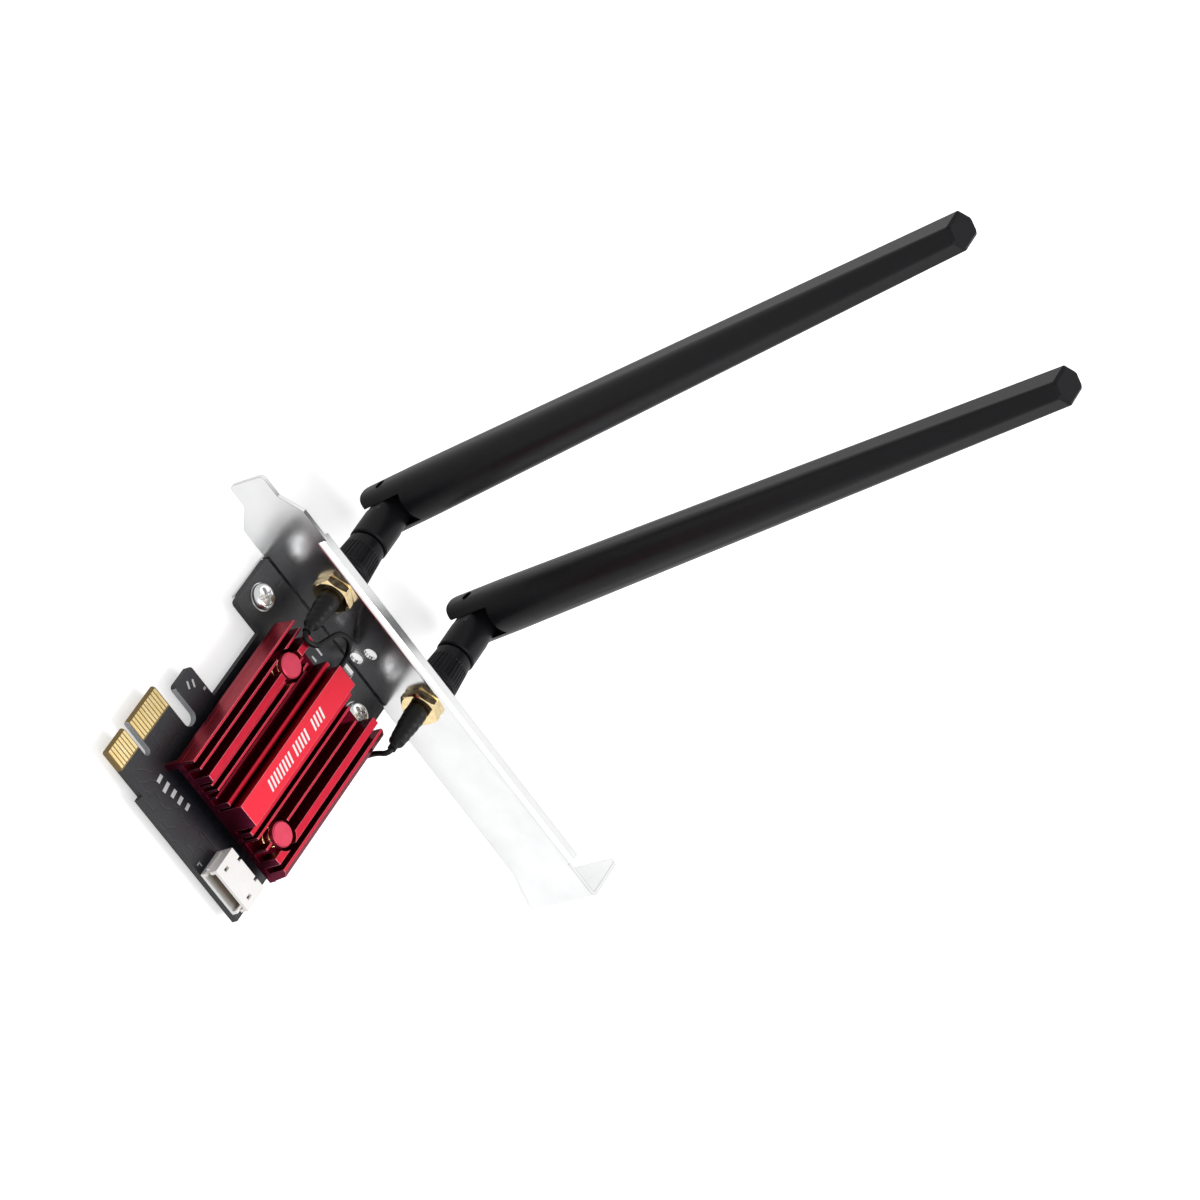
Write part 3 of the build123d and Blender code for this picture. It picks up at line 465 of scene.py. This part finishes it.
def screw_grid(head_radius, tip, seat, top):
    """A screw about its own axis. The rings climb from the tip: a shank whose radius falls by the thread's
    depth in a saw wave of height over pitch less turn, the flat under the head, and a dome with a cross
    pressed into it."""
    angles = np.linspace(0, 2 * np.pi, 144, endpoint=False)
    shank = np.linspace(tip, seat, 90)[:, None]
    wave = np.abs((shank / thread_pitch - angles / (2 * np.pi)) % 1 - 0.5) * 2
    swell = tip_slimness + (1 - tip_slimness) * eased_step(shank, tip, tip + tip_length)
    shank_radius = (thread_radius - thread_depth * wave) * swell
    rim = np.linspace(0, np.pi / 2, 12)
    flat = np.linspace(head_radius - head_rounding, 0.01, 70)
    head_radii = np.concatenate([[head_radius - head_rim, head_radius],
                                 head_radius - head_rounding * (1 - np.cos(rim)), flat])[:, None]
    head_heights = np.concatenate([[seat, seat + head_rim],
                                   top - dome_rise - head_rounding * (1 - np.sin(rim)),
                                   top - dome_rise * (flat / flat[0]) ** 2])[:, None]
    turned = angles + np.radians(recess_turn)
    arms = np.abs(np.stack([head_radii * np.cos(turned), head_radii * np.sin(turned)]))
    beside, beyond = eased_step(arms.min(axis=0), *recess_side), eased_step(arms.max(axis=0), *recess_end)
    pressed = (1 - beside) * (1 - beyond)
    whole_turn = np.ones(angles.size)
    radii = np.concatenate([0.02 * whole_turn[None], shank_radius, head_radii * whole_turn])
    heights = np.concatenate([tip * whole_turn[None], shank * whole_turn,
                              head_heights - recess_depth * pressed])
    return np.stack([radii * np.cos(angles), radii * np.sin(angles), heights], axis=-1)


def ring_grid(inner, outer, low, high):
    """A flat ring about Z: a rectangle carried round the axis, its four corners as the rings of the grid."""
    angles = np.linspace(0, 2 * np.pi, 96, endpoint=False)
    radii = np.array([outer, outer, inner, inner])[:, None]
    heights = np.repeat(np.array([low, high, high, low])[:, None], angles.size, axis=1)
    return np.stack([radii * np.cos(angles), radii * np.sin(angles), heights], axis=-1)


screws_low, screws_high = box_mm("bracket_screws")
screw_radius = (screws_high[0] - screws_low[0]) / 2
screw_x = screws_low[0] + screw_radius
screw_places = np.array([(screw_x, screws_high[1] - screw_radius, 0),
                         (screw_x, screws_low[1] + screw_radius, 0)])[:, None, None]
screw_nickel = bright_nickel("screw_nickel", grains=3.0, roughness=0.2, shade=0.4)
one_screw = screw_grid(screw_radius, screws_low[2], board_top, screws_high[2])
surface("bracket_screws_pressed", screw_places + one_screw, screw_nickel, nodes=("bracket_screws",))
one_land = ring_grid(*land_radii, board_top, board_top + land_thickness)
surface("screw_lands", screw_places + one_land, tin, looped=True)

# Heatsink: an aluminium extrusion, sawn to length, milled round its two pins and anodised red.
# The die leaves fine lines along its fins and the sawn ends are darker; the valleys, flanks and outer slope
# are darkened with painted shade, and the high edges carry a painted highlight.
anodised_bar = (0.76, 0.036, 0.060, 1)
anodised_bright = (0.60, 0.022, 0.046, 1)
anodised_streak = (0.46, 0.013, 0.036, 1)
flank_painted_shade = (0.36, 0.0085, 0.028, 1)
flank_streak_painted_shade = (0.22, 0.004, 0.018, 1)
anodised_valley_painted_shade = (0.095, 0.0014, 0.010, 1)
anodised_sawn_and_painted_shade = (0.11, 0.004, 0.024, 1)
anodised_edge_highlight = (0.95, 0.40, 0.48, 1)
anodised_roughness = (0.26, 0.38)
anodised_edge_width = 0.26
base_rise = 4.7
valley_height = 3.6
outer_wall = 1.62
outer_painted_shade = 0.85
slot_wall = 0.7
bar_depth = 0.3
sawn_depth = 0.05


def red_anodised():
    """Dyed oxide over aluminium, with die lines along the fins and darker sawn ends. Painted light: up-facing
    tops lit, flanks, valleys and the outer slope in painted shade, and a pale painted highlight on high
    edges."""
    material, tree, shader, place = new_finish("red_anodised", Metallic=1.0)
    low, high = box_mm("heatsink")
    spot = add(tree, "SeparateXYZ", {"Vector": place}).outputs
    sawn = reckon(tree, "LESS_THAN", spot["X"], low[0] + sawn_depth)
    outside = reckon(tree, "LESS_THAN", spot["Y"], low[1] + outer_wall)
    floor = low[2] + base_rise
    risen = between(tree, spot["Z"], 0.0, 1.0, floor, floor + valley_height)
    wall = reckon(tree, "GREATER_THAN", spot["Y"], high[1] - slot_wall)
    # Painted shade: the valleys darken towards their floors, except on the slotted wall.
    lit = reckon(tree, "MAXIMUM", reckon(tree, "POWER", risen, 3.0), wall)
    lines = speckle(tree, place, (0.05, 7.0, 7.0))
    cloud = speckle(tree, place, 0.3)
    saw = speckle(tree, place, (1.0, 9.0, 0.6))
    streaks = between(tree, reckon(tree, "ADD", lines, cloud), 0.0, 1.0, 0.7, 2.1)
    # Painted light: faces pointing up take the lit top colours, the flanks a darker painted shade.
    facing = add(tree, "SeparateXYZ", {"Vector": add(tree, "NewGeometry").outputs["Normal"]}).outputs["Z"]
    lit_tops = between(tree, facing, 0.0, 1.0, 0.3, 0.8)
    broad = reckon(tree, "GREATER_THAN", spot["Z"], high[2] - bar_depth)
    top = tint(tree, broad, tint(tree, streaks, anodised_bright, anodised_streak), anodised_bar)
    dye_and_painted_light = tint(tree, lit_tops, tint(tree, streaks, flank_painted_shade, flank_streak_painted_shade), top)
    dye_and_painted_light = tint(tree, lit, anodised_valley_painted_shade, dye_and_painted_light)
    # Painted shade: the outer slope beyond the outside crest takes most of the dark sawn colour.
    dye_and_painted_light = tint(tree, reckon(tree, "MULTIPLY", outside, outer_painted_shade), dye_and_painted_light, anodised_sawn_and_painted_shade)
    dye_and_painted_light = tint(tree, sawn, dye_and_painted_light, anodised_sawn_and_painted_shade)
    edge = soft_edge(tree, anodised_edge_width)
    # Painted highlight: pale pink along the sharp edges, fading lower down.
    edge_highlight = reckon(tree, "MULTIPLY", edge["Mask"], between(tree, cloud, 0.5, 0.9))
    edge_highlight = reckon(tree, "MULTIPLY", edge_highlight, risen)
    feed(tree, shader, Base_Color=tint(tree, edge_highlight, dye_and_painted_light, anodised_edge_highlight),
         Roughness=between(tree, lines, *anodised_roughness))
    height = add(tree, "Mix", {0: sawn, 2: lines, 3: saw}).outputs[0]
    relief(tree, shader, height, 0.005, edge["Normal"])
    return material


dress(red_anodised(), "heatsink")

# Print on the heatsink's broad bar: three groups of slanted strokes in white ink.
# The ink is screened on the anodised face and stands a few hundredths of a millimetre proud.
bar_top = box_mm("heatsink")[1][2]
stroke_groups = ((33.4, 28.4), (26.6, 21.0), (19.4, 10.0))
stroke_pitch = 1.25
stroke_row = -29.3
stroke_size = (0.6, 2.5)
stroke_slant = 0.3
bar_ink_pale = (0.86, 0.85, 0.85, 1)
bar_ink_deep = (0.78, 0.76, 0.77, 1)
stroke_places = np.concatenate([np.arange(start, end, -stroke_pitch) for start, end in stroke_groups])
strokes = np.column_stack([stroke_places, np.tile((stroke_row, *stroke_size, 0.0), (stroke_places.size, 1))])
bar_ink = speckled("bar_ink", bar_ink_pale, bar_ink_deep, grain=6.0, roughness=0.5, depth=0.01)
surface("bar_print", flat_strips(strokes, bar_top, bar_top + ink_thickness, stroke_slant), bar_ink)

# Push pins: red heads with a metallic sheen on barbed shanks, pressed through the heatsink and the board.
# Each works against a spring wound from round plated wire, whose end coils lie flat.
coil_turns = 2.25
coil_wire = 0.25
pin_head_half = 2.8
pin_pale = (0.60, 0.060, 0.105, 1)
pin_deep = (0.52, 0.045, 0.085, 1)


def coil_grid(radius, low, high):
    """A spring about Z: a circle of wire carried along a helix that is level for half a turn at each end."""
    share = np.linspace(0, 1, 240)[:, None]
    turns = share * coil_turns * 2 * np.pi
    level = 0.5 / coil_turns
    climb = low + (high - low) * np.clip((share - level) / (1 - 2 * level), 0, 1)
    around = np.linspace(0, 2 * np.pi, 20, endpoint=False)
    reach = radius + coil_wire * np.cos(around)
    heights = climb - coil_wire * np.sin(around)
    return np.stack([reach * np.cos(turns), reach * np.sin(turns), heights], axis=-1)


pins_low, pins_high = box_mm("heatsink_pins")
coils_low, coils_high = box_mm("heatsink_pin_springs")
pin_places = np.array([(pins_high[0] - pin_head_half, pins_high[1] - pin_head_half, 0),
                       (pins_low[0] + pin_head_half, pins_low[1] + pin_head_half, 0)])
coil_radius = coils_high[0] - pin_places[0, 0] - coil_wire
one_coil = coil_grid(coil_radius, coils_low[2] + coil_wire, coils_high[2] - coil_wire)
surface("heatsink_pin_coils", pin_places[:, None, None] + one_coil, socket_gold,
        nodes=("heatsink_pin_springs",))
pin_red = speckled("pin_red", pin_pale, pin_deep, grain=4.0, roughness=0.34, depth=0.004, Metallic=0.85)
dress(pin_red, "heatsink_pins")

# Antenna jacks: turned brass, gold plated, with a hexagon collar behind the bracket and a white core.
# A toothed washer and a hexagon nut clamp each one from outside.
worn_gold = (0.80, 0.60, 0.34, 1)
painted_dark_reflection = (0.016, 0.008, 0.008, 1)
dark_reflection_way = (-0.1, 0.52, 0.85)
dark_reflection_reach = (0.72, 0.9)
connector_roughness = (0.07, 0.16)
connector_edge = 0.08
core_pale = (0.84, 0.84, 0.82, 1)
core_deep = (0.80, 0.80, 0.77, 1)


def connector_plate():
    """Gold on turned brass, with a dark painted reflection on the flats that point off the board; the faced
    ends stay plain gold.
    """
    material, tree, shader, place = new_finish("connector_gold", Metallic=1.0)
    marks = speckle(tree, place, (0.4, 2.5, 2.5))
    cloud = speckle(tree, place, 0.7)
    # Painted reflection: flats facing up and towards +Y go nearly black, as if mirroring dark surroundings.
    facing = add(tree, "NewGeometry").outputs["Normal"]
    up = add(tree, "VectorMath", {0: facing, 1: dark_reflection_way}, operation="DOT_PRODUCT").outputs["Value"]
    dark_reflection_mask = reckon(tree, "MULTIPLY", between(tree, up, 0.0, 1.0, *dark_reflection_reach),
                     between(tree, cloud, 0.85, 1.0))
    gold = tint(tree, cloud, gold_bright, worn_gold)
    feed(tree, shader, Base_Color=tint(tree, dark_reflection_mask, gold, painted_dark_reflection),
         Roughness=between(tree, marks, *connector_roughness))
    relief(tree, shader, marks, 0.0002, soft_edge(tree, connector_edge)["Normal"])
    return material


connector_gold = connector_plate()
dress(connector_gold, "antenna_jack_1", "antenna_jack_2", "jack_contacts", "jack_nuts")
dress(speckled("white_core", core_pale, core_deep, grain=5.0, roughness=0.4, depth=0.005), "jack_insulators")
dress(screw_nickel, "jack_washers")

# Pigtails: thin coaxial cable in a black fluoropolymer jacket, from each jack to a snap plug on the board.
# A black boot is shrunk over the crimp, so it steps down to the cable and wrinkles a little.
jacket_pale = (0.004, 0.004, 0.0045, 1)
jacket_deep = (0.003, 0.003, 0.0035, 1)
rubber_pale = (0.006, 0.006, 0.007, 1)
rubber_deep = (0.004, 0.004, 0.005, 1)
boot_tip_radius = 0.95
boot_step = (1.0, 2.3)
boot_taper = 0.75
boot_shoulder = 1.0
boot_rounding = (0.45, 0.5)
boot_end_hole = 0.3
wrinkle_heights = (0.035, 0.03)
wrinkle_start = 1.5


def boot_grid(low, high):
    """A shrunk boot about X: its radius steps up from the cable to a gently widening tube and rounds off at
    the collar, and low waves in length and angle wrinkle it."""
    share = np.concatenate([[0], np.linspace(0, 1, 140), [1]])[:, None]
    along = low[0] + (high[0] - low[0]) * share
    from_tip = along - low[0]
    to_collar = high[0] - along
    angles = np.linspace(0, 2 * np.pi, 96, endpoint=False)
    tube = (high[1] - low[1]) / 2 - boot_taper * eased_step(to_collar, boot_shoulder, high[0] - low[0])
    radius = boot_tip_radius + (tube - boot_tip_radius) * eased_step(from_tip, *boot_step)
    radius = radius - boot_rounding[0] * (1 - eased_step(to_collar, 0.0, boot_rounding[1]))
    wrinkle = (wrinkle_heights[0] * np.sin(2.1 * from_tip + 2 * angles)
               + wrinkle_heights[1] * np.sin(3.7 * from_tip - angles))
    radius = radius + (wrinkle - sum(wrinkle_heights)) * eased_step(from_tip, 0.0, wrinkle_start)
    radius[[0, -1]] = boot_end_hole
    middle = (low + high) / 2
    return np.stack([np.broadcast_to(along, radius.shape), middle[1] + radius * np.cos(angles),
                     middle[2] + radius * np.sin(angles)], axis=-1)


jacket = speckled("cable_jacket", jacket_pale, jacket_deep, grain=6.0, roughness=0.3, depth=0.004,
                  Specular_IOR_Level=0.15)
dress(jacket, "coax_cable_1", "coax_cable_2")
dress(socket_gold, "aerial_plugs")
rubber = speckled("boot_rubber", rubber_pale, rubber_deep, grain=4.0, roughness=0.38, depth=0.01,
                  Specular_IOR_Level=0.17)
for count in (1, 2):
    boot = boot_grid(*box_mm(f"cable_boot_{count}"))
    surface(f"cable_boot_{count}_shrunk", boot[None], rubber, nodes=(f"cable_boot_{count}",))

# Antennas: moulded in black plastic with a fine spark-eroded grain. A ribbed sleeve turns the plated coupling
# nut, an elbow base turns on the plug, and the rod folds on a blackened pin through its fork.
rib_count = 32
rib_depth = 0.2
rib_start = (1.3, 1.7)
rib_end = (7.4, 7.9)
groove_depth = 0.16
groove_sides = ((0.7, 0.9), (1.0, 1.2))
rim_rounding = (0.3, 0.35)
end_rounding = (0.55, 0.6)
end_radius = 4.05
end_wall = 0.85
sleeve_bore = 3.65
stem_hole = 2.95
coupling_shown = 0.8
plastic_pale = (0.008, 0.0078, 0.0095, 1)
plastic_deep = (0.0065, 0.0064, 0.0078, 1)
steel_pale = (0.03, 0.03, 0.03, 1)
steel_deep = (0.02, 0.02, 0.02, 1)


def sleeve_grid(low, high):
    """A ribbed sleeve about X: a closed outline of length and radius carried round, out along its skin and
    back along its bore, with a rounded comb in the angle cut into the middle of the skin."""
    angles = np.linspace(0, 2 * np.pi, rib_count * 12, endpoint=False)
    length = high[0] - low[0]
    widest = (high[1] - low[1]) / 2
    skin = np.linspace(coupling_shown, length, 90)
    from_rim = skin - coupling_shown
    skin_radius = widest + (end_radius - widest) * skin / length
    skin_radius = skin_radius - rim_rounding[0] * (1 - eased_step(from_rim, 0, rim_rounding[1]))
    skin_radius = skin_radius - end_rounding[0] * eased_step(skin, length - end_rounding[1], length)
    groove = eased_step(from_rim, *groove_sides[0]) * (1 - eased_step(from_rim, *groove_sides[1]))
    band = eased_step(from_rim, *rib_start) * (1 - eased_step(skin, *rib_end))
    comb = rib_depth * np.clip(0.5 - 0.9 * np.cos(rib_count * angles), 0, 1)
    skin_grid = (skin_radius - groove_depth * groove)[:, None] - band[:, None] * comb
    bore = np.array([(length, stem_hole), (length - end_wall, stem_hole), (length - end_wall, sleeve_bore),
                     (coupling_shown, sleeve_bore)])
    along = np.concatenate([skin, bore[:, 0]])[:, None] + low[0]
    radius = np.concatenate([skin_grid, np.repeat(bore[:, 1:], angles.size, axis=1)])
    middle = (low + high) / 2
    return np.stack([np.broadcast_to(along, radius.shape), middle[1] + radius * np.cos(angles),
                     middle[2] + radius * np.sin(angles)], axis=-1)


antenna_black = speckled("antenna_plastic", plastic_pale, plastic_deep, grain=7.0, roughness=0.3, depth=0.003,
                         Specular_IOR_Level=0.12)
pin_black = speckled("blackened_steel", steel_pale, steel_deep, grain=5.0, roughness=0.4, depth=0.005,
                     Metallic=0.6)
for count in (1, 2):
    sleeve = sleeve_grid(*box_mm(f"antenna_{count}_sleeve"))
    surface(f"antenna_{count}_sleeve_ribbed", sleeve[None], antenna_black,
            body=f"antenna_{count}_nut_body", nodes=(f"antenna_{count}_sleeve",), looped=True)
    dress(antenna_black, f"antenna_{count}_base", f"antenna_{count}_rod")
    dress(connector_gold, *(f"antenna_{count}_{piece}" for piece in ("coupling", "plug", "radiator")))
    dress(pin_black, f"antenna_{count}_hinge_pin")

# Stage: a wide white floor under the card, a white surround and two soft lamps.
# Floor and surround look white to the camera and in reflections, and the floor still takes the shadow.
floor_white = 0.9
floor_mottle = 0.01
floor_glow = 0.5
mirrored_glow = 0.1
surround_light = 0.45
floor_half = 6.0


def stage_floor():
    """A matt white sheet at the card's lowest point."""
    corners = np.array([(-1, -1), (1, -1), (1, 1), (-1, 1)], float) * floor_half
    places = np.column_stack((corners, np.full(4, cad_low.z)))
    mesh = bpy.data.meshes.new("floor")
    mesh.from_pydata(places.tolist(), [], [(0, 1, 2, 3)])
    floor = bpy.data.objects.new("floor", mesh)
    bpy.context.scene.collection.objects.link(floor)
    material, tree, shader, place = new_finish("floor_paper", Roughness=0.9, Specular_IOR_Level=0.1,
                                               Emission_Color=(1, 1, 1, 1))
    fibre = speckle(tree, place, 0.05, floor_white - floor_mottle, floor_white + floor_mottle)
    rays = add(tree, "LightPath").outputs
    mirrored = reckon(tree, "MAXIMUM", rays["Is Glossy Ray"], rays["Is Transmission Ray"])
    glow = reckon(tree, "MAXIMUM", reckon(tree, "MULTIPLY", rays["Is Camera Ray"], floor_glow),
                  reckon(tree, "MULTIPLY", mirrored, mirrored_glow))
    feed(tree, shader, Base_Color=fibre, Emission_Strength=glow)
    mesh.materials.append(material)


def white_surround():
    """White to the camera and in reflections, softer as a light on matt surfaces."""
    world = bpy.data.worlds.new("surround")
    world.use_nodes = True
    tree = world.node_tree
    background = tree.nodes["Background"]
    background.inputs["Color"].default_value = (1, 1, 1, 1)
    rays = add(tree, "LightPath").outputs
    seen = reckon(tree, "MAXIMUM", rays["Is Camera Ray"], rays["Is Glossy Ray"])
    seen = reckon(tree, "MAXIMUM", seen, rays["Is Transmission Ray"])
    tree.links.new(between(tree, seen, surround_light, 1.0), background.inputs["Strength"])
    bpy.context.scene.world = world


def soft_lamp(name, direction, distance, size, power):
    """A square lamp that shines on the card's middle from a direction, with sizes in metres."""
    middle = (cad_low + cad_high) / 2
    lamp = bpy.data.objects.new(name, bpy.data.lights.new(name, "AREA"))
    lamp.data.size = size
    lamp.data.energy = power
    lamp.location = middle + Vector(direction).normalized() * distance
    lamp.rotation_euler = (middle - lamp.location).to_track_quat("-Z", "Y").to_euler()
    bpy.context.scene.collection.objects.link(lamp)


stage_floor()
white_surround()
soft_lamp("key_lamp", direction=(0.1, -0.6, 0.85), distance=1.0, size=0.6, power=7.5)
soft_lamp("top_lamp", direction=(-0.7, -0.1, 0.8), distance=1.1, size=0.7, power=3.0)

# Camera: stands off the far corner of the board and looks down on the component side.
# Its place and turn were fitted to the bracket and the edge connector in the photograph.
camera_place = Vector((-0.80408, 0.46307, 0.99726))
view_right = Vector((0.43007, -0.56356, 0.70529))
view_up = Vector((0.64226, 0.74002, 0.19968))
camera_lens = 201.25
camera_sensor = 36
camera_reach = 20

camera = bpy.data.objects.new("camera", bpy.data.cameras.new("camera"))
camera.data.sensor_width = camera_sensor
camera.data.lens = camera_lens
camera.data.clip_end = camera_reach
turn = Matrix((view_right, view_up, view_right.cross(view_up))).transposed().to_4x4()
camera.matrix_world = Matrix.Translation(camera_place) @ turn
bpy.context.scene.collection.objects.link(camera)
bpy.context.scene.camera = camera
bpy.context.scene.view_settings.view_transform = "Standard"

bpy.context.view_layer.update()
